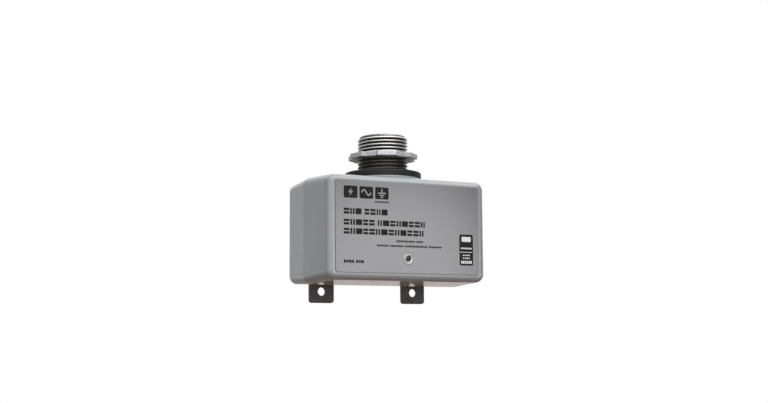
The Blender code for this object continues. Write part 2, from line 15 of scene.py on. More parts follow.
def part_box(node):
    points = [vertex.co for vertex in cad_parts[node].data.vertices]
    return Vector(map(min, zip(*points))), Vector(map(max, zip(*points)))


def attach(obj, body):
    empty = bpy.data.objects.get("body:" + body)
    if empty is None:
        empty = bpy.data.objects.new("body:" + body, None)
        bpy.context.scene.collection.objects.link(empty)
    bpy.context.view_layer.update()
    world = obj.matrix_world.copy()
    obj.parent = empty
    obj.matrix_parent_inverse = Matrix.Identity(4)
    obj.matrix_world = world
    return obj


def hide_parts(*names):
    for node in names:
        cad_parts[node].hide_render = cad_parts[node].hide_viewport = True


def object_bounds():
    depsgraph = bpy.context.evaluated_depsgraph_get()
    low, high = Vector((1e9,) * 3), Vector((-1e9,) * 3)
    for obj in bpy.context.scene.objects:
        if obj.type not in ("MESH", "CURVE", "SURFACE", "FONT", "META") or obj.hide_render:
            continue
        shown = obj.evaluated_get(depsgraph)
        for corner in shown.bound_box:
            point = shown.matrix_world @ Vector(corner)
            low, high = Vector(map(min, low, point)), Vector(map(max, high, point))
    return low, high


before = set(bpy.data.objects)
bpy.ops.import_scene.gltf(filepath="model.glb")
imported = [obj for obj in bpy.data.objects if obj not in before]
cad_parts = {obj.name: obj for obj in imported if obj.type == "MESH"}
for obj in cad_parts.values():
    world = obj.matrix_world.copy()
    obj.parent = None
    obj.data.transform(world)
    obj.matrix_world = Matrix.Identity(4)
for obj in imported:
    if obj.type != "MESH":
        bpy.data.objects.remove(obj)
cad_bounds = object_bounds()

MM = 0.001


def middle(node):
    """A node's middle in the front view, as X and Z."""
    low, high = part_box(node)
    return (low.x + high.x) / 2, (low.z + high.z) / 2


# Driving sizes, read from the frame
SHELL_LOW, SHELL_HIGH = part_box("front_shell")
REAR_LOW, REAR_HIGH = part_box("rear_shell")
BOARD_LOW, BOARD_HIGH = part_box("circuit_board")
LABEL_LOW, LABEL_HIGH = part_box("label_plate")
NIPPLE_LOW, NIPPLE_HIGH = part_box("conduit_nipple")
GASKET_LOW, GASKET_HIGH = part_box("nipple_gasket")
NUT_LOW, NUT_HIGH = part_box("conduit_locknut")
LAMP_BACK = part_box("status_led")[1].y
BEZEL_LOW, BEZEL_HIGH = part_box("led_bezel")

CENTRE_Z = (BOARD_LOW.z + BOARD_HIGH.z) / 2
HALF_WIDTH = SHELL_HIGH.x
HALF_HEIGHT = CENTRE_Z - SHELL_LOW.z
PARTING_Y = (SHELL_HIGH.y + REAR_LOW.y) / 2
LAMP_X, LAMP_Z = middle("status_led")
LABEL_CENTRE_Z = (LABEL_LOW.z + LABEL_HIGH.z) / 2
LABEL_FACE_Y = LABEL_LOW.y + 0.1 * MM

# Enclosure details shared with the CAD model
DRAFT = 0.046
WALL = 2.5 * MM
CORNER = 4.5 * MM
INNER_CORNER = 2 * MM
FRONT_EDGE = 3.0 * MM
REAR_EDGE = 0.8 * MM
BOSS_FOOT_Z = -6.6 * MM
CRADLE = ((-19.8 * MM, -19.0 * MM, -15.2 * MM), (19.8 * MM, 19.5 * MM, -6.2 * MM))
POCKET = ((-17.3 * MM, -17.3 * MM, -13.2 * MM), (17.3 * MM, 17.7 * MM, -9.0 * MM))
BORE = 13.5 * MM
LEAD_HOLE = 11.5 * MM

# Enclosure details of the visual model alone
SEAM = 0.03 * MM               # the gap between the two shells
SEAM_LIP = 0.12 * MM           # the eased edge on both sides of that gap
BOSS_RADIUS = 20.5 * MM        # the boss's top
BOSS_SPREAD = 3.2 * MM         # how much wider the boss is at its foot

# Screw posts and holes: radii, the Y at which each blind hole ends, and the depth of the heads' recess
FRONT_POST, REAR_POST, PILOT, COUNTERBORE = 3.2 * MM, 4.3 * MM, 1.6 * MM, 2.9 * MM
BOARD_POST, BOARD_PILOT, FOOT_PILOT = 2.6 * MM, 1.4 * MM, 1.5 * MM
PILOT_END, BOARD_PILOT_END, FOOT_PILOT_END = -12 * MM, -25.6 * MM, 12.4 * MM
COUNTERBORE_DEPTH = 2.6 * MM

# Status lamp
BEZEL_RADIUS = 3.1 * MM
BEZEL_FRONT = -(BEZEL_LOW.y + 0.08 * MM)
LAMP_HOLE = 3.4 * MM
DISH_BORE = 1.68 * MM
DISH_DROP = 0.42 * MM

# Nipple, thread and locknut
FLANGE_RADIUS, FLANGE_TOP, FLANGE_FLAT = 17.0 * MM, -9.3 * MM, 16.7 * MM
NIPPLE_NECK, NIPPLE_RIM, NIPPLE_BORE = 12.9 * MM, 11.6 * MM, 10.4 * MM
GASKET_BORE = 13.8 * MM
THREAD_PITCH = 25.4 / 14 * MM
THREAD_CREST = 13.36 * MM
THREAD_ROOT = 11.95 * MM
LUGS = 6
LUG_PHASE = math.radians(11.2)
LUG_FOOT, LUG_TIP = 16.5 * MM, 18.66 * MM

# Printed layers
INK = 0.03 * MM
PRINT_Y = LABEL_FACE_Y - 0.02 * MM
WORD_GAP = 3.2                 # the space between words, as a multiple of the space between blocks

# Set: the camera's yaw, pitch and roll in degrees, and how far the floor and its card lie below
CAMERA_TURNS = (26.301, 6.86, -0.348)
CAMERA_LENS = 56.57
CAMERA_PLACE = (-0.28224, -0.57225, CENTRE_Z - 0.05946)
FLOOR_DROP, CARD_DROP = 0.22, 0.222

OVERLAP = 1 * MM               # how far solids and cutters run past the faces that they meet
AHEAD, BEHIND = -32 * MM, 24 * MM    # the Y of cutters' ends in front of and behind the whole object


# ---------------------------------------------------------------- meshes

def mesh_of(bm, name):
    bmesh.ops.recalc_face_normals(bm, faces=bm.faces)
    mesh = bpy.data.meshes.new(name)
    bm.to_mesh(mesh)
    bm.free()
    return mesh


def boolean(mesh, operation, *tools):
    """A mesh cut or joined with other meshes, one after another."""
    for tool in tools:
        target = bpy.data.objects.new("target", mesh)
        helper = bpy.data.objects.new("helper", tool)
        for obj in (target, helper):
            bpy.context.scene.collection.objects.link(obj)
        modifier = target.modifiers.new("boolean", "BOOLEAN")
        modifier.operation = operation
        modifier.object = helper
        modifier.solver = "EXACT"
        graph = bpy.context.evaluated_depsgraph_get()
        mesh = bpy.data.meshes.new_from_object(target.evaluated_get(graph))
        for obj in (target, helper):
            bpy.data.objects.remove(obj, do_unlink=True)
    return mesh


def cut(mesh, *tools):
    return boolean(mesh, "DIFFERENCE", *tools)


def join(mesh, *tools):
    return boolean(mesh, "UNION", *tools)


def moved(mesh, matrix):
    mesh.transform(matrix)
    return mesh


def box_mesh(low, high):
    bm = bmesh.new()
    low, high = Vector(low), Vector(high)
    bmesh.ops.create_cube(bm, size=1.0, matrix=Matrix.Translation((low + high) / 2)
                          @ Matrix.Diagonal((*(high - low), 1.0)))
    return mesh_of(bm, "box")


def lathe(profile, segments=96):
    """Turns a closed (radius, height) profile about Z; points on the axis become poles."""
    bm = bmesh.new()
    rings = []
    for radius, height in profile:
        if radius < 1e-7:
            rings.append([bm.verts.new((0, 0, height))] * segments)
            continue
        rings.append([bm.verts.new((radius * math.cos(a), radius * math.sin(a), height))
                      for a in (2 * math.pi * i / segments for i in range(segments))])
    for near, far in zip(rings, rings[1:] + rings[:1]):
        for i in range(segments):
            j = (i + 1) % segments
            corners = []
            for vert in (near[i], far[i], far[j], near[j]):
                if vert not in corners:
                    corners.append(vert)
            if len(corners) > 2:
                bm.faces.new(corners)
    return mesh_of(bm, "lathe")


def fillet(points, radii, steps):
    """Rounds the corners of a closed outline; radii is one radius, or one for each point."""
    count = len(points)
    radii = [radii] * count if isinstance(radii, (int, float)) else radii
    rounded = []
    for i, radius in enumerate(radii):
        here = Vector(points[i])
        back = Vector(points[i - 1]) - here
        ahead = Vector(points[(i + 1) % count]) - here
        half = back.angle(ahead) / 2
        if radius <= 0 or half > math.radians(89):
            rounded.append(tuple(here))
            continue
        reach = radius / math.tan(half)
        start = here + back.normalized() * reach
        end = here + ahead.normalized() * reach
        centre = here + (back.normalized() + ahead.normalized()).normalized() * radius / math.sin(half)
        sweep = math.pi - 2 * half
        for k in range(steps + 1):
            t = k / steps
            a = math.sin((1 - t) * sweep) / math.sin(sweep)
            b = math.sin(t * sweep) / math.sin(sweep)
            rounded.append(tuple(centre + a * (start - centre) + b * (end - centre)))
    return rounded


def prism(outline, low, high, edge=0.0, steps=4):
    """Extrudes a closed outline along Z, with its edges rounded by edge."""
    count = len(outline)
    points = [Vector(p) for p in outline]
    area = sum(a.x * b.y - b.x * a.y for a, b in zip(points, points[1:] + points[:1]))
    turn = 1 if area > 0 else -1
    inward = []
    for i in range(count):
        ahead = (points[(i + 1) % count] - points[i]).normalized()
        along = ahead + (points[i] - points[i - 1]).normalized()
        inward.append(Vector((-along.y, along.x)).normalized() * turn)
    levels = [(low, 0.0), (high, 0.0)]
    if edge > 0:
        angles = [math.pi / 2 * k / steps for k in range(steps + 1)]
        levels = [(low + edge * (1 - math.sin(a)), edge * (1 - math.cos(a))) for a in reversed(angles)]
        levels += [(high - edge * (1 - math.sin(a)), edge * (1 - math.cos(a))) for a in angles]
    bm = bmesh.new()
    rings = []
    for height, inset in levels:
        rings.append([bm.verts.new((*(p + n * inset), height)) for p, n in zip(points, inward)])
    for lower, upper in zip(rings, rings[1:]):
        for i in range(count):
            j = (i + 1) % count
            bm.faces.new((lower[i], lower[j], upper[j], upper[i]))
    bm.faces.new(rings[0])
    bm.faces.new(rings[-1])
    return mesh_of(bm, "prism")


def rectangle(width, height, centre=(0, 0)):
    x, y = centre
    return [(x - width / 2, y - height / 2), (x + width / 2, y - height / 2),
            (x + width / 2, y + height / 2), (x - width / 2, y + height / 2)]


# Turns a mesh built along +Z so that it faces the front (-Y) or the rear (+Y), keeping X and sending
# the outline's second coordinate to Z
TO_FRONT = Matrix.Rotation(math.pi / 2, 4, "X")
TO_REAR = Matrix(((1, 0, 0, 0), (0, 0, 1, 0), (0, 1, 0, 0), (0, 0, 0, 1)))


def faced(mesh, matrix, x, y, z):
    """Turns a mesh with one of the two matrices above and moves it to its place."""
    mesh = moved(mesh, Matrix.Translation((x, y, z)) @ matrix)
    if matrix.determinant() < 0:
        mesh.flip_normals()
    return mesh


def smooth(obj, angle):
    obj.data.shade_smooth()
    obj.data.set_sharp_from_angle(angle=math.radians(angle))
    weighted = obj.modifiers.new("flat_faces_stay_flat", "WEIGHTED_NORMAL")
    weighted.keep_sharp = True
    weighted.weight = 80


def add(name, mesh, material, body="root", nodes=(), angle=30):
    obj = bpy.data.objects.new(name, mesh)
    mesh.materials.clear()
    mesh.materials.append(material)
    bpy.context.scene.collection.objects.link(obj)
    smooth(obj, angle)
    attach(obj, body)
    if nodes:
        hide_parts(*nodes)


# ---------------------------------------------------------------- materials

class Paint:
    """A Principled material and short calls that add nodes to it."""

    def __init__(self, name, colour, roughness, metallic=0.0, **uniform):
        self.material = bpy.data.materials.new(name)
        self.material.use_nodes = True
        self.tree = self.material.node_tree
        self.shader = self.tree.nodes["Principled BSDF"]
        self.shader.inputs["Base Color"].default_value = (*colour, 1)
        self.shader.inputs["Roughness"].default_value = roughness
        self.shader.inputs["Metallic"].default_value = metallic
        for socket, value in uniform.items():
            self.shader.inputs[socket.replace("_", " ").title().replace("Ior", "IOR")].default_value = value
        self.place = self.tree.nodes.new("ShaderNodeTexCoord").outputs["Object"]

    def node(self, kind, **values):
        made = self.tree.nodes.new(kind)
        for key, value in values.items():
            setattr(made, key, value)
        return made

    def stretched(self, scale):
        mapping = self.node("ShaderNodeMapping")
        mapping.inputs["Scale"].default_value = scale
        self.tree.links.new(self.place, mapping.inputs["Vector"])
        return mapping.outputs["Vector"]

    def noise(self, scale, detail=3.0, roughness=0.5, stretch=None):
        made = self.node("ShaderNodeTexNoise")
        made.inputs["Scale"].default_value = scale
        made.inputs["Detail"].default_value = detail
        made.inputs["Roughness"].default_value = roughness
        source = self.place if stretch is None else self.stretched(stretch)
        self.tree.links.new(source, made.inputs["Vector"])
        return made.outputs["Fac"]

    def cells(self, scale, feature="F1"):
        made = self.node("ShaderNodeTexVoronoi", feature=feature)
        made.inputs["Scale"].default_value = scale
        self.tree.links.new(self.place, made.inputs["Vector"])
        return made.outputs["Distance"]

    def ranged(self, value, low, high, out_low, out_high):
        made = self.node("ShaderNodeMapRange")
        sockets = ("From Min", "From Max", "To Min", "To Max")
        for socket, number in zip(sockets, (low, high, out_low, out_high)):
            made.inputs[socket].default_value = number
        self.tree.links.new(value, made.inputs["Value"])
        return made.outputs["Result"]

    def mixed(self, factor, low_colour, high_colour):
        """A colour between two ends, each a plain colour or another node's output."""
        mix = self.node("ShaderNodeMix", data_type="RGBA")
        self.tree.links.new(factor, mix.inputs[0])
        for socket, colour in zip([s for s in mix.inputs if s.type == "RGBA"], (low_colour, high_colour)):
            if isinstance(colour, tuple):
                socket.default_value = (*colour, 1)
            else:
                self.tree.links.new(colour, socket)
        return [s for s in mix.outputs if s.type == "RGBA"][0]

    def tint(self, value, low_colour, high_colour, low=0.35, high=0.65):
        """The base colour runs between two colours as value runs from low to high."""
        colour = self.mixed(self.ranged(value, low, high, 0, 1), low_colour, high_colour)
        self.tree.links.new(colour, self.shader.inputs["Base Color"])

    def gloss(self, value, smoothest, roughest):
        """The roughness runs between two values over the middle of a noise's range."""
        roughness = self.ranged(value, 0.3, 0.7, smoothest, roughest)
        self.tree.links.new(roughness, self.shader.inputs["Roughness"])

    def bump(self, value, depth):
        made = self.node("ShaderNodeBump")
        made.inputs["Distance"].default_value = depth
        self.tree.links.new(value, made.inputs["Height"])
        self.tree.links.new(made.outputs["Normal"], self.shader.inputs["Normal"])


def scaled(colour, factor):
    return tuple(c * factor for c in colour)


def enclosure_plastic():
    grey = (0.121, 0.133, 0.140)
    paint = Paint("enclosure_plastic", grey, 0.3, specular_ior_level=0.15, coat_weight=0.75,
                  coat_roughness=0.07)
    paint.tint(paint.noise(38, 2), scaled(grey, 0.965), scaled(grey, 1.035))
    paint.gloss(paint.noise(160, 3), 0.28, 0.36)
    paint.bump(paint.noise(2600, 2), 0.003 * MM)
    return paint.material


def label_film():
    grey = (0.077, 0.079, 0.083)
    paint = Paint("label_film", grey, 0.42, 0.1, specular_ior_level=0.1, coat_weight=0.76,
                  coat_roughness=0.05)
    paint.tint(paint.noise(50, 3, 0.6, (1, 1, 7)), scaled(grey, 0.985), scaled(grey, 1.015))
    paint.gloss(paint.noise(500, 2, 0.5, (0.2, 1, 6)), 0.4, 0.45)
    paint.bump(paint.noise(1500, 2, 0.5, (0.06, 1, 5)), 0.001 * MM)
    return paint.material


def print_ink():
    ink = (0.0065, 0.0063, 0.006)
    paint = Paint("print_ink", ink, 0.5, specular_ior_level=0.07)
    paint.tint(paint.noise(900, 2), scaled(ink, 0.85), scaled(ink, 1.4))
    paint.bump(paint.noise(2200, 2), 0.003 * MM)
    return paint.material


def knockout_ink():
    """The light bars of the printed block, where the film shows through."""
    light = (0.33, 0.335, 0.33)
    paint = Paint("knockout_ink", light, 0.4)
    paint.tint(paint.noise(700, 2), scaled(light, 0.9), scaled(light, 1.05))
    return paint.material


def black_rubber():
    black = (0.006, 0.0064, 0.0066)
    paint = Paint("gasket_rubber", black, 0.5, specular_ior_level=0.15)
    paint.tint(paint.noise(220, 4), scaled(black, 0.85), scaled(black, 1.25))
    paint.gloss(paint.noise(420, 3), 0.42, 0.6)
    paint.bump(paint.noise(1800, 3), 0.012 * MM)
    return paint.material


def turned_steel():
    """Steel with painted shade in the thread's roots, on the thread below the nut and on the top rim."""
    # painted shade: the second colour is the crests' colour in the painted shadow below the nut, not a
    # coating, and the third is the roots' painted shade
    steel, film, painted_root_shade = (0.56, 0.56, 0.55), (0.098, 0.097, 0.093), (0.058, 0.057, 0.053)
    paint = Paint("turned_steel", steel, 0.34, 1.0)
    radius = paint.node("ShaderNodeVectorMath", operation="LENGTH")
    paint.tree.links.new(paint.stretched((1, 1, 0)), radius.inputs[0])
    height = paint.node("ShaderNodeSeparateXYZ")
    paint.tree.links.new(paint.place, height.inputs["Vector"])
    out, high = radius.outputs["Value"], height.outputs["Z"]
    # painted shade in the roots: crest runs from 0 at the roots to 1 at the crests, and the roots take a
    # darker colour than the crests
    crest = paint.ranged(out, THREAD_ROOT + 0.45 * MM, THREAD_CREST - 0.15 * MM, 0, 1)
    # painted shadow of the nut: 0 below the nut, where the whole thread is painted dark, rising to 1 at the
    # nut's top
    above_painted_nut_shadow = paint.ranged(high, NUT_LOW.z, NUT_HIGH.z, 0, 1)
    roots, crests = paint.mixed(above_painted_nut_shadow, scaled(painted_root_shade, 1.9), painted_root_shade), paint.mixed(above_painted_nut_shadow, film, steel)
    thread = paint.mixed(crest, roots, crests)
    # painted shade: the top millimetre of the tube, its chamfered rim, is darkened to a quarter of the
    # steel's colour
    chamfered = paint.ranged(high, NIPPLE_HIGH.z - 1.5 * MM, NIPPLE_HIGH.z - 1.0 * MM, 0, 1)
    inside = paint.ranged(out, THREAD_ROOT - 0.3 * MM, THREAD_ROOT - 0.2 * MM, 1, 0)
    below = paint.ranged(high, -3.0 * MM, -4.0 * MM, 0, 1)
    outside = paint.mixed(below, paint.mixed(chamfered, thread, scaled(steel, 0.25)), steel)
    paint.tree.links.new(paint.mixed(inside, outside, steel), paint.shader.inputs["Base Color"])
    paint.gloss(paint.noise(700, 3, 0.5, (1, 1, 6)), 0.3, 0.42)
    paint.bump(paint.noise(900, 2, 0.5, (1, 1, 9)), 0.0012 * MM)
    return paint.material


def zinc_plate(name="zinc_plate", colour=(0.235, 0.248, 0.264)):
    paint = Paint(name, colour, 0.3, 0.6)
    paint.tint(paint.cells(420), scaled(colour, 0.86), scaled(colour, 1.05), 0.0, 0.6)
    paint.gloss(paint.noise(500, 4), 0.4, 0.52)
    paint.bump(paint.noise(650, 4), 0.006 * MM)
    return paint.material


def foot_paint():
    brown = (0.035, 0.0305, 0.026)
    paint = Paint("foot_paint", brown, 0.42, specular_ior_level=0.25)
    paint.tint(paint.noise(300, 3), scaled(brown, 0.88), scaled(brown, 1.15))
    paint.gloss(paint.noise(500, 3), 0.36, 0.5)
    paint.bump(paint.noise(1500, 3), 0.02 * MM)
    return paint.material


def polished_ring():
    metal = (0.58, 0.59, 0.60)
    paint = Paint("polished_ring", metal, 0.3, 1.0)
    paint.tint(paint.noise(900, 3), scaled(metal, 0.94), scaled(metal, 1.04))
    paint.gloss(paint.noise(1200, 2), 0.26, 0.36)
    return paint.material


def satin_surround():
    grey = (0.21, 0.212, 0.218)
    paint = Paint("satin_surround", grey, 0.38, 0.15)
    paint.tint(paint.noise(800, 3), scaled(grey, 0.96), scaled(grey, 1.04))
    paint.gloss(paint.noise(1200, 2), 0.34, 0.42)
    paint.bump(paint.noise(3000, 2), 0.001 * MM)
    return paint.material


def lamp_lens():
    dark = (0.006, 0.006, 0.007)
    paint = Paint("lamp_lens", dark, 0.06, specular_ior_level=0.22, coat_weight=0.25, coat_roughness=0.03)
    paint.tint(paint.noise(1500, 2), dark, scaled(dark, 2.2))
    return paint.material


def board_laminate():
    green = (0.02, 0.13, 0.05)
    paint = Paint("board_laminate", green, 0.4, ior=1.5)
    paint.tint(paint.cells(240, "DISTANCE_TO_EDGE"), scaled(green, 1.9), green, 0.02, 0.06)
    paint.bump(paint.noise(1400, 2, 0.5, (1, 8, 1)), 0.01 * MM)
    return paint.material


def dipped(name, colour, roughness):
    """Dipped or moulded cases of the electrical parts."""
    paint = Paint(name, colour, roughness, ior=1.5)
    paint.tint(paint.noise(350, 3), scaled(colour, 0.85), scaled(colour, 1.12))
    paint.gloss(paint.noise(600, 3), roughness * 0.8, roughness * 1.3)
    paint.bump(paint.noise(500, 3), 0.03 * MM)
    return paint.material


def pressed_fibre():
    tan = (0.40, 0.36, 0.29)
    paint = Paint("pressed_fibre", tan, 0.8)
    paint.tint(paint.noise(600, 5, 0.7, (1, 1, 3)), scaled(tan, 0.8), scaled(tan, 1.1))
    paint.bump(paint.noise(1200, 4, 0.6), 0.03 * MM)
    return paint.material


# ---------------------------------------------------------------- enclosure

def drafted_block(near_y, far_y, wall=0.0, corner=CORNER, corner_steps=12, rim=0.0, rim_steps=10, lip=0.0):
    """A rounded box that narrows with the draft from the parting plane to its far end."""
    bm = bmesh.new()
    bmesh.ops.create_cube(bm, size=2.0)
    outward = 1 if far_y > near_y else -1
    for vert in bm.verts:
        y = near_y if vert.co.y * outward < 0 else far_y
        shrink = DRAFT * (y - PARTING_Y) * outward
        vert.co = Vector((vert.co.x * (HALF_WIDTH - wall - shrink), y,
                          CENTRE_Z + vert.co.z * (HALF_HEIGHT - wall - shrink)))
    bmesh.ops.recalc_face_normals(bm, faces=bm.faces)
    along = [e for e in bm.edges if abs(e.verts[0].co.y - e.verts[1].co.y) > 1e-4]
    bmesh.ops.bevel(bm, geom=along, offset=corner, offset_type="OFFSET", segments=corner_steps, profile=0.5,
                    affect="EDGES")
    for place, radius, steps in ((far_y, rim, rim_steps), (near_y, lip, 2)):
        if radius > 0:
            ring = [e for e in bm.edges if all(abs(v.co.y - place) < 1e-6 for v in e.verts)]
            bmesh.ops.bevel(bm, geom=ring, offset=radius, offset_type="OFFSET", segments=steps, profile=0.5,
                            affect="EDGES")
    return mesh_of(bm, "drafted_block")


def upright(radius, low, high):
    return lathe([(0, high), (radius, high), (radius, low), (0, low)])


def rod(radius, x, z, low_y, high_y, segments=32):
    rod_mesh = lathe([(0, high_y), (radius, high_y), (radius, low_y), (0, low_y)], segments)
    return faced(rod_mesh, TO_REAR, x, 0, z)


def boss_ring():
    """The raised pad that the gasket sits on: a rounded rim, sloping sides and a flat at the rear."""
    top = GASKET_LOW.z - 0.02 * MM
    rim = 0.6 * MM
    steps = 6
    profile = [(0, top)]
    for i in range(steps + 1):
        angle = math.pi / 2 * (1 - i / steps)
        profile.append((BOSS_RADIUS - rim + rim * math.cos(angle), top - rim + rim * math.sin(angle)))
    profile += [(BOSS_RADIUS + BOSS_SPREAD, BOSS_FOOT_Z), (0, BOSS_FOOT_Z)]
    flat_y = REAR_HIGH.y - 0.4 * MM
    return cut(lathe(profile, 160), box_mesh((-30 * MM, flat_y, -8 * MM), (30 * MM, 40 * MM, 0)))


def cradle():
    """The block under the top wall whose pocket traps the nipple's flange."""
    return box_mesh(*CRADLE)


def cradle_hollows():
    """The pocket, the nipple's hole above it and the leads' hole below it."""
    return box_mesh(*POCKET), upright(BORE, -10 * MM, -1.0 * MM), upright(LEAD_HOLE, -17 * MM, -12.5 * MM)


def half_space(side):
    """Everything on one side of the parting plane, +1 for the rear."""
    reach, floor_z, top_z = 0.1, -0.15, 0.05
    near, far = PARTING_Y - side * SEAM / 2, side * reach
    return box_mesh((-reach, min(near, far), floor_z), (reach, max(near, far), top_z))


def rods_at(kind, radius, low_y, high_y, segments=32):
    """A rod on the axis of each of the four screws of one kind."""
    return [rod(radius, *middle(f"{kind}_{i}"), low_y, high_y, segments) for i in range(1, 5)]


def front_moulding(plastic):
    front_y = SHELL_LOW.y
    mesh = drafted_block(PARTING_Y - SEAM / 2, front_y, rim=FRONT_EDGE, lip=SEAM_LIP)
    mesh = cut(mesh, drafted_block(PARTING_Y + OVERLAP, front_y + WALL, WALL, INNER_CORNER, 6))
    solids = [boss_ring(), cradle()]
    solids += rods_at("shell_screw", FRONT_POST, front_y + OVERLAP, PARTING_Y + OVERLAP)
    solids += rods_at("board_screw", BOARD_POST, front_y + OVERLAP, BOARD_LOW.y - 0.3 * MM)
    mesh = join(mesh, *solids)
    hollows = [*cradle_hollows(), half_space(1)]
    hollows += rods_at("shell_screw", PILOT, PILOT_END, 2 * MM)
    hollows += rods_at("board_screw", BOARD_PILOT, BOARD_PILOT_END, -20 * MM)
    hollows.append(rod(LAMP_HOLE, LAMP_X, LAMP_Z, AHEAD, -25 * MM, 64))
    add("front_shell_moulding", cut(mesh, *hollows), plastic, nodes=["front_shell"])


def foot_slots():
    """Cutters for the two slots in the rear face that the feet lie in."""
    slots = []
    gap, past = 0.25 * MM, 5 * MM
    for node in ("left_foot", "right_foot"):
        low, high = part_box(node)
        slots.append(box_mesh((low.x - gap, low.y - gap, low.z - past),
                              (high.x + gap, high.y + past, high.z + gap)))
    return slots


def foot_pads():
    """The thick places behind the slots, which the feet's screws bite into."""
    pads = []
    margin, pad_front, pad_low = 1.6 * MM, 11.5 * MM, -58 * MM
    for node in ("left_foot", "right_foot"):
        low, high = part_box(node)
        pads.append(box_mesh((low.x - margin, pad_front, pad_low),
                             (high.x + margin, REAR_HIGH.y - 0.8 * MM, high.z + 1.5 * MM)))
    return pads


def rear_moulding(plastic):
    rear_y = REAR_HIGH.y
    mesh = drafted_block(PARTING_Y + SEAM / 2, rear_y, rim=REAR_EDGE, rim_steps=5, lip=SEAM_LIP)
    mesh = cut(mesh, drafted_block(PARTING_Y - OVERLAP, rear_y - WALL, WALL, INNER_CORNER, 6))
    solids = [boss_ring(), cradle(), *foot_pads()]
    solids += rods_at("shell_screw", REAR_POST, PARTING_Y - OVERLAP, rear_y - OVERLAP)
    mesh = join(mesh, *solids)
    hollows = [*cradle_hollows(), half_space(-1), *foot_slots()]
    hollows += rods_at("shell_screw", PILOT, -5 * MM, BEHIND)
    hollows += rods_at("shell_screw", COUNTERBORE, rear_y - COUNTERBORE_DEPTH, BEHIND, 48)
    for side in ("left", "right"):
        for i in (1, 2):
            hollows.append(rod(FOOT_PILOT, *middle(f"{side}_foot_screw_{i}"), FOOT_PILOT_END, 20 * MM))
    add("rear_shell_moulding", cut(mesh, *hollows), plastic, nodes=["rear_shell"])


# ---------------------------------------------------------------- label

def label_plate(film):
    width, height = LABEL_HIGH.x - LABEL_LOW.x, LABEL_HIGH.z - LABEL_LOW.z
    outline = fillet(rectangle(width, height), 1.6 * MM, 10)
    depth = SHELL_LOW.y - LABEL_FACE_Y
    plate = prism(outline, 0.0, depth, 0.22 * MM, 4)
    plate = faced(plate, TO_FRONT, 0, SHELL_LOW.y - 0.02 * MM, LABEL_CENTRE_Z)
    clearance = 0.12 * MM
    plate = cut(plate, rod(BEZEL_RADIUS + clearance, LAMP_X, LAMP_Z, AHEAD, -28 * MM, 96))
    add("label_plate_film", plate, film, nodes=["label_plate"])


def stamped(outlines, lift=0.0):
    """Closed outlines in X and Z as one thin printed layer, raised by lift."""
    whole = bmesh.new()
    for outline in outlines:
        part = faced(prism(outline, 0.0, INK), TO_FRONT, 0, PRINT_Y - lift, 0)
        whole.from_mesh(part)
        bpy.data.meshes.remove(part)
    return mesh_of(whole, "stamped")


def rounded_bar(x, z, width, height, corner=0.12):
    """A rounded bar with its left end at x and its centre at z, in millimetres from the box's centre."""
    bar = rectangle(width * MM, height * MM, ((x + width / 2) * MM, CENTRE_Z + z * MM))
    return fillet(bar, min(corner, 0.45 * height) * MM, 3)


def row_of_blocks(x, z, height, widths, gap, ends=(), split=False):
    """Plain blocks side by side in place of a line of type, with a wider gap after each block in ends.

    With split, some blocks are two stacked bars and some are two posts, which lightens the line.
    """
    bars = []
    for i, width in enumerate(widths):
        kind = (1, 2, 0, 1, 1, 2, 0)[i % 7] if split else 0
        if kind == 0:
            bars.append(rounded_bar(x, z, width, height))
        elif kind == 1:
            bars += [rounded_bar(x, z + side * 0.29 * height, width, 0.4 * height) for side in (-1, 1)]
        else:
            bars += [rounded_bar(start, z, 0.38 * width, height) for start in (x, x + 0.62 * width)]
        x += width + (gap * WORD_GAP if i in ends else gap)
    return bars


def fitted(total, count, gap, wide_gaps, ratios):
    """Block widths that fill a line of the given length, in the given repeating ratios."""
    space = total - gap * (count - 1) - gap * (WORD_GAP - 1) * wide_gaps
    weights = [ratios[i % len(ratios)] for i in range(count)]
    return [space * w / sum(weights) for w in weights]


def label_print(ink, light):
    marks = []
    lines = (
        # left, centre height, block height, length, blocks, gap, word ends
        (-36.5, 7.75, 3.0, 24.3, 7, 0.55, (2,)),
        (-36.5, 2.3, 2.9, 45.6, 13, 0.55, (4,)),
        (-36.5, -2.25, 2.9, 44.8, 13, 0.55, ()),
        (-36.5, -17.35, 1.5, 10.9, 7, 0.35, (3,)),
        (-19.4, 12.9, 0.75, 8.0, 6, 0.3, ()),
        (-7.2, -6.55, 0.95, 15.0, 11, 0.3, (7,)),
        (-18.2, -9.0, 0.95, 36.9, 27, 0.3, (4, 10, 20)),
    )
    ratios = (1.0, 0.82, 1.1, 0.9, 1.0, 0.75, 1.15)
    for left, z, height, length, count, gap, ends in lines:
        widths = fitted(length, count, gap, len(ends), ratios)
        marks += row_of_blocks(left, z, height, widths, gap, ends, height > 2)
    add("label_print", stamped(marks), ink, angle=60)
    symbol_row(ink)
    side_block(ink, light)


def zigzag(points, width):
    """An outline of constant width along an open line of points."""
    left, right = [], []
    for i, here in enumerate(points):
        here = Vector(here)
        before = Vector(points[max(i - 1, 0)])
        after = Vector(points[min(i + 1, len(points) - 1)])
        along = (after - before).normalized()
        side = Vector((-along.y, along.x)) * width / 2
        left.append(tuple(here + side))
        right.append(tuple(here - side))
    return left + right[::-1]


def symbol_row(ink):
    """Three generic pictograms in solid tiles: a bolt, a wave and an earth sign."""
    tile, height, gap = 7.55, 6.1, 1.15
    left, z = -36.5, 17.4
    tiles = []
    for i in range(3):
        x = left + i * (tile + gap)
        block = faced(prism(rounded_bar(x, z, tile, height, 0.7), 0.0, INK), TO_FRONT, 0, PRINT_Y, 0)
        tiles.append(cut(block, *pictogram(i, x + tile / 2, CENTRE_Z / MM + z)))
    whole = bmesh.new()
    for part in tiles:
        whole.from_mesh(part)
    add("label_symbols", mesh_of(whole, "label_symbols"), ink, angle=60)


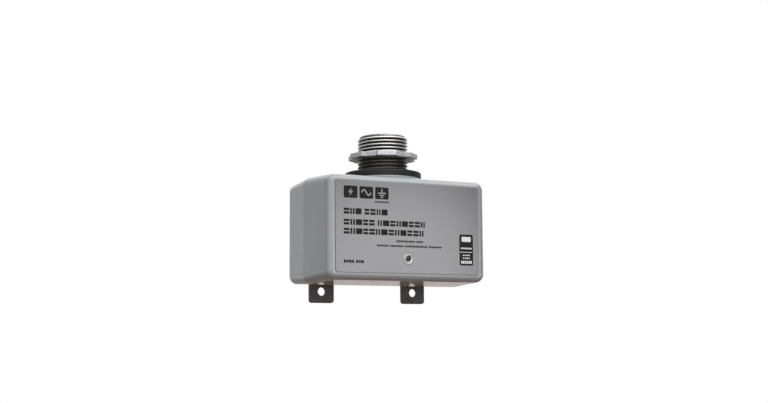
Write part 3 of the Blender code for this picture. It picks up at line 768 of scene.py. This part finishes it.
def pictogram(kind, x, z):
    """Cutters for one pictogram, drawn in millimetres about its tile's middle at x, z."""
    if kind == 0:
        outlines = [[(0.7, 2.3), (-1.5, -0.3), (-0.2, -0.3), (-0.8, -2.3), (1.5, 0.5), (0.2, 0.5)]]
    elif kind == 1:
        wave = [(-2.6 + 5.2 * i / 24, 1.35 * math.sin(2 * math.pi * i / 24)) for i in range(25)]
        outlines = [zigzag(wave, 0.8)]
    else:
        outlines = [rectangle(0.7, 2.1, (0, 1.2)), rectangle(4.4, 0.65, (0, 0.05)),
                    rectangle(2.8, 0.65, (0, -1.05)), rectangle(1.2, 0.65, (0, -2.1))]
    cutters = []
    for outline in outlines:
        placed = [((x + a) * MM, (z + b) * MM) for a, b in outline]
        cutters.append(faced(prism(placed, -1 * MM, 1 * MM), TO_FRONT, 0, LABEL_FACE_Y, 0))
    return cutters


def side_block(ink, light):
    """A plain dark block with light bars at the label's lower right."""
    left, width, z, height = 29.3, 8.1, -9.85, 16.1
    block = stamped([rounded_bar(left, z, width, height, 0.9)])
    add("side_block_print", block, ink, angle=60)
    bars = [rounded_bar(left + 1.3, -4.3, width - 2.6, 2.6, 0.5)]
    bars += row_of_blocks(left + 0.9, -9.0, 0.85, fitted(width - 1.8, 6, 0.3, 0, (1.0, 0.8, 1.1)), 0.3)
    bars += [rounded_bar(left + 0.35, -11.0, width - 0.7, 0.3, 0.1)]
    bars += row_of_blocks(left + 1.9, -12.6, 0.6, fitted(width - 3.8, 4, 0.25, 0, (1.0, 1.2)), 0.25)
    bars += row_of_blocks(left + 1.9, -14.1, 0.6, fitted(width - 3.8, 4, 0.25, 0, (1.1, 0.9)), 0.25)
    bars += row_of_blocks(left + 0.9, -16.2, 1.5, fitted(width - 1.8, 6, 0.3, 0, (0.9, 1.1)), 0.3)
    add("side_block_bars", stamped(bars, INK), light, angle=60)


# ---------------------------------------------------------------- status lamp

def lamp_dish(satin):
    """The round surround: a flat rim, a concave step down and a recessed floor around the dome."""
    front, back = BEZEL_FRONT / MM, -BEZEL_HIGH.y / MM
    outer, bore, drop = BEZEL_RADIUS / MM, DISH_BORE / MM, DISH_DROP / MM
    collar, collar_front = 4.2, 26.5
    step = [(2.72 - drop * math.sin(a), front - drop * (1 - math.cos(a)) - 0.02)
            for a in (math.pi / 2 * i / 6 for i in range(7))]
    profile = [(bore, front - 1.2), (bore, front - 0.44), *reversed(step), (2.82, front),
               (outer - 0.1, front), (outer, front - 0.1), (outer, collar_front), (collar, collar_front),
               (collar, back), (1.75, back), (1.75, front - 1.2)]
    dish = lathe([(r * MM, z * MM) for r, z in profile], 96)
    dish = faced(dish, TO_FRONT, LAMP_X, 0, LAMP_Z)
    add("lamp_dish", dish, satin, nodes=["led_bezel"], angle=35)


def lamp_ring(metal):
    """The bright bead that holds the dome."""
    radius, thick = 1.88 * MM, 0.24 * MM
    seat = BEZEL_FRONT - DISH_DROP
    foot_z = seat - 0.05 * MM
    arc = [(radius + thick * math.cos(a), seat + 1.4 * thick * math.sin(a))
           for a in (math.pi * i / 12 for i in range(13))]
    bead = lathe([*arc, (radius - thick, foot_z), (radius + thick, foot_z)], 96)
    bead = faced(bead, TO_FRONT, LAMP_X, 0, LAMP_Z)
    add("lamp_ring", bead, metal, angle=50)


def lamp_dome(lens):
    """The dark dome with its flange and its two pins."""
    radius, rise = 1.62 * MM, 1.15 * MM
    tip = -BEZEL_LOW.y - 0.3 * MM
    profile = [(radius * math.sin(a), tip - rise * (1 - math.cos(a)))
               for a in (math.pi / 2 * i / 16 for i in range(17))]
    profile[0] = (0, tip)
    flange, flange_front, flange_back = 1.75 * MM, 24.4 * MM, 23.6 * MM
    profile += [(radius, flange_front), (flange, flange_front), (flange, flange_back), (0, flange_back)]
    dome = faced(lathe(profile, 64), TO_FRONT, LAMP_X, 0, LAMP_Z)
    pins = [rod(0.25 * MM, LAMP_X + side * 0.6 * MM, LAMP_Z, -24 * MM, LAMP_BACK, 12) for side in (-1, 1)]
    add("status_lamp_dome", join(dome, *pins), lens, nodes=["status_led"], angle=40)


# ---------------------------------------------------------------- conduit fitting

def thread_radius(phase):
    """Radius over one pitch, measured from the crest's middle: a rounded crest and a narrow root."""
    away = abs((phase + 0.5) % 1 - 0.5)
    heights = ((0.0, 1.0), (0.06, 0.99), (0.12, 0.93), (0.17, 0.80), (0.42, 0.06), (0.5, 0.0))
    return THREAD_ROOT + (THREAD_CREST - THREAD_ROOT) * float(np.interp(away, *zip(*heights)))


def threaded_tube(low, high, neck, rim):
    """A tube with a helical thread that fades in above low and is chamfered down to rim at high.

    The rows follow the helix, so each face lies along the thread.
    """
    around = 144
    phases = (0.0, 0.06, 0.12, 0.17, 0.42, 0.5, 0.58, 0.83, 0.88, 0.94)
    step = len(phases)
    turns = math.ceil((high - low) / THREAD_PITCH) + 3
    bm = bmesh.new()
    grid = []
    for row in range(turns * step):
        phase = phases[row % step]
        ring = []
        for i in range(around):
            angle = 2 * math.pi * i / around
            height = low + (row // step - 1.5 + phase + i / around) * THREAD_PITCH
            fade = min(1.0, max(0.0, (height - low) / (1.2 * MM)))
            radius = neck + (thread_radius(phase) - neck) * fade
            height = min(max(height, low), high)
            radius = min(radius, rim + (high - height))
            ring.append(bm.verts.new((radius * math.cos(angle), radius * math.sin(angle), height)))
        grid.append(ring)
    for below, above in zip(grid, grid[1:]):
        for i in range(around - 1):
            bm.faces.new((below[i], below[i + 1], above[i + 1], above[i]))
    for row in range(len(grid) - step - 1):
        bm.faces.new((grid[row][-1], grid[row + step][0], grid[row + step + 1][0], grid[row + 1][-1]))
    bmesh.ops.remove_doubles(bm, verts=bm.verts, dist=0.002 * MM)
    specks = [face for face in bm.faces if face.calc_area() < 1e-14]
    bmesh.ops.delete(bm, geom=specks, context="FACES")
    for level in (low, high):
        ends = [edge for edge in bm.edges
                if edge.is_boundary and all(abs(vertex.co.z - level) < 0.01 * MM for vertex in edge.verts)]
        bmesh.ops.contextual_create(bm, geom=ends)
    return mesh_of(bm, "thread")


def conduit_nipple(steel):
    """The threaded tube, its bore and its trapped flange as one closed body."""
    flange_low, neck_top = NIPPLE_LOW.z, -2.0 * MM
    tube = threaded_tube(-2.4 * MM, NIPPLE_HIGH.z, NIPPLE_NECK, NIPPLE_RIM)
    body = lathe([(0, neck_top), (NIPPLE_NECK, neck_top), (NIPPLE_NECK, FLANGE_TOP),
                  (FLANGE_RADIUS, FLANGE_TOP), (FLANGE_RADIUS, flange_low), (0, flange_low)], 144)
    ease, flare, past = 0.6 * MM, 11.6 * MM, 25 * MM
    hollow = fillet([(0, past), (12.2 * MM, past), (NIPPLE_BORE, NIPPLE_HIGH.z - 0.7 * MM),
                     (NIPPLE_BORE, flange_low + ease), (flare, flange_low - ease), (0, flange_low - ease)],
                    [0, 0, 0.4 * MM, 0.4 * MM, 0, 0], 4)
    flats = [box_mesh((near, -20 * MM, -13 * MM), (far, 20 * MM, -8 * MM))
             for near, far in ((-past, -FLANGE_FLAT), (FLANGE_FLAT, past))]
    mesh = cut(join(tube, body), lathe(hollow, 144), *flats)
    add("threaded_conduit_nipple", mesh, steel, nodes=["conduit_nipple"], angle=26)


def gasket(rubber):
    low, high = GASKET_LOW.z, GASKET_HIGH.z
    outer = GASKET_HIGH.x
    corners = [(GASKET_BORE, high), (outer, high), (outer, low), (GASKET_BORE, low)]
    profile = fillet(corners, [0.3 * MM, 0.75 * MM, 0.35 * MM, 0.3 * MM], 8)
    add("round_gasket", lathe(profile, 192), rubber, nodes=["nipple_gasket"], angle=40)


def locknut(zinc):
    """A ring with six lugs, each with sloping sides, and a bore chamfered at both ends."""
    low, high = NUT_LOW.z, NUT_HIGH.z
    # a lug's corners: radius, degrees from the lug's middle, rounding in millimetres
    corners = ((LUG_FOOT, -19.2, 0.6), (LUG_TIP, -16.3, 0.5), (LUG_TIP, 16.3, 0.5), (LUG_FOOT, 19.2, 0.6))
    outline = []
    radii = []
    for i in range(LUGS):
        centre = LUG_PHASE + 2 * math.pi * i / LUGS
        for radius, swing, rounding in corners:
            angle = centre + math.radians(swing)
            outline.append((radius * math.cos(angle), radius * math.sin(angle)))
            radii.append(rounding * MM)
    nut = prism(fillet(outline, radii, 5), low, high, 0.45 * MM, 5)
    lead, past = 0.7 * MM, 2 * MM
    wide = BORE + lead + past
    hole = lathe([(0, high + past), (wide, high + past), (BORE, high - lead), (BORE, low + lead),
                  (wide, low - past), (0, low - past)], 128)
    add("lugged_locknut", cut(nut, hole), zinc, body="locknut", nodes=["conduit_locknut"])


# ---------------------------------------------------------------- feet and screws

def foot(node, paint):
    """A flat strap with a round hole below the box and two countersinks for its screws."""
    low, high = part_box(node)
    front, back = low.y, high.y
    outline = fillet(rectangle(high.x - low.x, high.z - low.z), 1.6 * MM, 10)
    plate = prism(outline, 0.0, back - front, 0.3 * MM, 4)
    x, z = middle(node)
    plate = faced(plate, TO_REAR, x, front, z)
    radius, flare, hole_z = 2.25 * MM, 0.3 * MM, low.z + 6.05 * MM
    wide = radius + flare + OVERLAP
    profile = [(0, back + OVERLAP), (wide, back + OVERLAP), (radius, back - flare),
               (radius, front + flare), (wide, front - OVERLAP), (0, front - OVERLAP)]
    tools = [faced(lathe(profile, 64), TO_REAR, x, 0, hole_z)]
    sink = [(0, 0.4), (2.8, 0.4), (2.8, -0.3), (1.5, -1.5), (1.5, -6), (0, -6)]
    for i in (1, 2):
        screw = f"{node}_screw_{i}"
        cutter = lathe([(out * MM, up * MM) for out, up in sink], 48)
        tools.append(faced(cutter, TO_REAR, x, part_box(screw)[1].y, middle(screw)[1]))
    add(f"{node}_strap", cut(plate, *tools), paint, nodes=[node])


def cross_recess(width, depth):
    """The cutter of a cross-shaped driver recess that narrows with depth, from z = 0 downwards."""
    arms = []
    bottom_share, thickness, above = 0.55, 0.28 * width, 0.2 * MM
    for turn in (0, math.pi / 2):
        bm = bmesh.new()
        bmesh.ops.create_cube(bm, size=1.0)
        for vert in bm.verts:
            taper = 1.0 if vert.co.z > 0 else bottom_share
            vert.co.x *= width * taper
            vert.co.y *= thickness
            vert.co.z = above if vert.co.z > 0 else -depth
        arms.append(moved(mesh_of(bm, "arm"), Matrix.Rotation(turn, 4, "Z")))
    return join(arms[0], arms[1])


def pan_screw(name, node, zinc):
    low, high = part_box(node)
    head, shank, dome = (high.x - low.x) / 2, 1.3 * MM, 1.8 * MM
    length = high.y - low.y - dome
    corners = [(0, dome), (head * 0.55, dome), (head, dome * 0.5), (head, 0), (shank, 0),
               (shank, -length + 1.5 * MM), (0, -length)]
    profile = fillet(corners, [0, 0.9 * MM, 0.35 * MM, 0.1 * MM, 0, 0, 0], 5)
    recess = moved(cross_recess(head * 1.15, 1.3 * MM), Matrix.Translation((0, 0, dome)))
    x, z = middle(node)
    screw = faced(cut(lathe(profile, 48), recess), TO_REAR, x, high.y - dome, z)
    add(name, screw, zinc, nodes=[node])


def flat_screw(name, node, zinc):
    low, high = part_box(node)
    head, shank, length = (high.x - low.x) / 2, 1.2 * MM, high.y - low.y
    profile = [(0, 0), (head - 0.05 * MM, 0), (head, -0.06 * MM), (head, -0.3 * MM), (shank, -1.5 * MM),
               (shank, -length + 0.8 * MM), (0, -length)]
    x, z = middle(node)
    screw = faced(cut(lathe(profile, 48), cross_recess(head * 1.15, 1.2 * MM)), TO_REAR, x, high.y, z)
    add(name, screw, zinc, nodes=[node])


# ---------------------------------------------------------------- carried-over CAD nodes

def repaint(nodes, material):
    for node in nodes:
        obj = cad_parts[node]
        obj.data.materials.clear()
        obj.data.materials.append(material)
        obj.data.shade_smooth()
        obj.data.set_sharp_from_angle(angle=math.radians(32))


def inner_parts(rubber, zinc):
    repaint(["shell_seal"], rubber)
    repaint([f"board_screw_{i}" for i in range(1, 5)], zinc)
    repaint(["circuit_board"], board_laminate())
    repaint([f"varistor_{i}" for i in range(1, 5)], dipped("varistor_epoxy", (0.02, 0.09, 0.34), 0.28))
    repaint(["film_capacitor"], dipped("capacitor_case", (0.6, 0.42, 0.06), 0.3))
    ceramic = dipped("fuse_ceramic", (0.7, 0.68, 0.62), 0.35)
    repaint([f"{kind}_{i}" for kind in ("thermal_cutoff", "line_fuse") for i in (1, 2)], ceramic)
    repaint(["lamp_resistor"], dipped("resistor_coat", (0.45, 0.3, 0.16), 0.35))
    repaint(["lamp_diode"], dipped("diode_case", (0.012, 0.012, 0.012), 0.25))
    tin = zinc_plate("tinned_brass", (0.78, 0.74, 0.64))
    repaint(["bond_ring", *(f"lead_terminal_{i}" for i in range(1, 5))], tin)
    repaint(["insulation_sheet", "led_spacer"], pressed_fibre())


# ---------------------------------------------------------------- studio

def camera():
    """The photograph's view: from the front left and a little below, looking up."""
    yaw, pitch, roll = (math.radians(turn) for turn in CAMERA_TURNS)
    forward = Vector((math.sin(yaw) * math.cos(pitch), math.cos(yaw) * math.cos(pitch), math.sin(pitch)))
    right = Vector((math.cos(yaw), -math.sin(yaw), 0))
    up = right.cross(forward)
    right, up = (right * math.cos(roll) + up * math.sin(roll), up * math.cos(roll) - right * math.sin(roll))
    data = bpy.data.cameras.new("camera")
    data.sensor_width = 36.0
    data.lens = CAMERA_LENS
    obj = bpy.data.objects.new("camera", data)
    turn = Matrix((right, up, -forward)).transposed().to_4x4()
    obj.matrix_world = Matrix.Translation(CAMERA_PLACE) @ turn
    bpy.context.scene.collection.objects.link(obj)
    bpy.context.scene.camera = obj


def set_piece(name, bm, paint):
    mesh = mesh_of(bm, name)
    mesh.materials.append(paint.material)
    obj = bpy.data.objects.new(name, mesh)
    bpy.context.scene.collection.objects.link(obj)
    return obj


def sheet(name, drop, paint):
    """A wide level sheet this far below the hanging object."""
    bm = bmesh.new()
    bmesh.ops.create_grid(bm, x_segments=1, y_segments=1, size=20.0)
    obj = set_piece(name, bm, paint)
    obj.location = (0, 0, cad_bounds[0].z - drop)
    return obj


def only_seen(obj):
    """Part of the set that neither lights the object nor shows in it."""
    obj.visible_diffuse = False
    obj.visible_glossy = False
    obj.visible_transmission = False
    obj.visible_shadow = False


def backdrop():
    """The plain white surround."""
    white = Paint("white_backdrop", (0, 0, 0), 1.0, specular_ior_level=0.0, emission_color=(1, 1, 1, 1),
                  emission_strength=1.0)
    bm = bmesh.new()
    bmesh.ops.create_icosphere(bm, subdivisions=4, radius=3.0)
    only_seen(set_piece("backdrop", bm, white))


def floor():
    """A pale floor for the camera, and just below it the warm card that colours the light from below."""
    pale = Paint("pale_floor", (0.8, 0.8, 0.8), 0.9)
    only_seen(sheet("floor", FLOOR_DROP, pale))
    toned = Paint("floor_card", (0.8, 0.8, 0.8), 0.9)
    distance = toned.node("ShaderNodeVectorMath", operation="LENGTH")
    toned.tree.links.new(toned.place, distance.inputs[0])
    away = distance.outputs["Value"]
    split = toned.node("ShaderNodeSeparateXYZ")
    toned.tree.links.new(toned.place, split.inputs["Vector"])
    # painted shade and light on the card: dark and warm out to about 0.6 m from its middle below the
    # object, as the shade under the object, paler out to 2.7 m and lighter in front
    ahead = toned.ranged(split.outputs["Y"], -0.28, -0.62, 0, 1)
    near = toned.mixed(toned.ranged(away, 0.27, 0.45, 0, 1), (0.17, 0.078, 0.042), (0.15, 0.112, 0.09))
    whole = toned.mixed(toned.ranged(away, 0.6, 2.7, 0, 1), near, (0.59, 0.545, 0.53))
    whole = toned.mixed(ahead, whole, (0.92, 0.84, 0.79))
    toned.tree.links.new(whole, toned.shader.inputs["Base Color"])
    card = sheet("floor_card", CARD_DROP, toned)
    card.visible_camera = False
    card.location.x += 0.06
    card.location.y -= 0.04


def softbox():
    """One large soft light, above and in front of the object."""
    data = bpy.data.lights.new("softbox", "AREA")
    data.shape = "RECTANGLE"
    data.size, data.size_y = 1.2, 0.8
    data.energy = 12.0
    data.color = (1.0, 0.99, 0.97)
    obj = bpy.data.objects.new("softbox", data)
    obj.location = (0.12, -0.7, 0.66)
    aim = Vector((0, 0, CENTRE_Z)) - obj.location
    obj.rotation_euler = aim.to_track_quat("-Z", "Y").to_euler()
    bpy.context.scene.collection.objects.link(obj)


def studio():
    """A white room, bright overhead and dim in front but for three soft windows."""
    world = bpy.data.worlds.new("studio")
    bpy.context.scene.world = world
    world.use_nodes = True
    nodes, links = world.node_tree.nodes, world.node_tree.links
    place = nodes.new("ShaderNodeTexCoord")
    split = nodes.new("ShaderNodeSeparateXYZ")
    links.new(place.outputs["Generated"], split.inputs["Vector"])

    def blend(value, start, end, low, high):
        ramp = nodes.new("ShaderNodeMapRange")
        ramp.interpolation_type = "SMOOTHSTEP"
        ramp.inputs["From Min"].default_value = start
        ramp.inputs["From Max"].default_value = end
        links.new(value, ramp.inputs["Value"])
        mix = nodes.new("ShaderNodeMix")
        mix.data_type = "RGBA"
        links.new(ramp.outputs["Result"], mix.inputs[0])
        ends = [socket for socket in mix.inputs if socket.type == "RGBA"]
        for socket, colour in zip(ends, (low, high)):
            if isinstance(colour, tuple):
                socket.default_value = (*colour, 1)
            else:
                links.new(colour, socket)
        return [socket for socket in mix.outputs if socket.type == "RGBA"][0]

    def spot(azimuth, elevation, edge, core, around, glow):
        """A soft round window over what is around it; all four angles are in degrees.

        Azimuth turns from straight ahead of the front towards +X; edge and core are measured from the
        window's middle.
        """
        level = math.radians(elevation)
        turn = math.radians(azimuth)
        aim = nodes.new("ShaderNodeVectorMath")
        aim.operation = "DOT_PRODUCT"
        aim.inputs[1].default_value = (math.sin(turn) * math.cos(level), -math.cos(turn) * math.cos(level),
                                       math.sin(level))
        links.new(place.outputs["Generated"], aim.inputs[0])
        start, end = math.cos(math.radians(edge)), math.cos(math.radians(core))
        return blend(aim.outputs["Value"], start, end, around, glow)

    left = spot(azimuth=-36, elevation=-8, edge=70, core=5,
                around=(0.12, 0.12, 0.13), glow=(2.45, 2.35, 2.35))
    window = spot(azimuth=-5, elevation=-20, edge=43.5, core=35, around=left, glow=(3.0, 2.88, 2.88))
    front = spot(azimuth=26.8, elevation=3.5, edge=6.0, core=0.5, around=window, glow=(6.2, 6.2, 6.3))
    far = blend(split.outputs["X"], -0.3, 0.12, (0.73, 0.755, 0.785), (1.0, 1.0, 1.0))
    sides = blend(split.outputs["Y"], -0.3, 0.6, front, far)
    whole = blend(split.outputs["Z"], 0.4, 0.85, sides, (2.35, 2.45, 2.55))
    links.new(whole, nodes["Background"].inputs["Color"])
    bpy.context.scene.view_settings.view_transform = "Standard"


# ---------------------------------------------------------------- assembly

def build():
    camera()
    floor()
    backdrop()
    studio()
    softbox()
    plastic = enclosure_plastic()
    front_moulding(plastic)
    rear_moulding(plastic)
    label_plate(label_film())
    label_print(print_ink(), knockout_ink())
    lamp_dish(satin_surround())
    lamp_ring(polished_ring())
    lamp_dome(lamp_lens())
    conduit_nipple(turned_steel())
    rubber = black_rubber()
    gasket(rubber)
    locknut(zinc_plate())
    paint = foot_paint()
    zinc = zinc_plate("screw_zinc", (0.62, 0.64, 0.66))
    for side in ("left", "right"):
        foot(f"{side}_foot", paint)
        for i in (1, 2):
            flat_screw(f"{side}_strap_screw_{i}", f"{side}_foot_screw_{i}", zinc)
    for i in range(1, 5):
        pan_screw(f"closing_screw_{i}", f"shell_screw_{i}", zinc)
    inner_parts(rubber, zinc)


build()
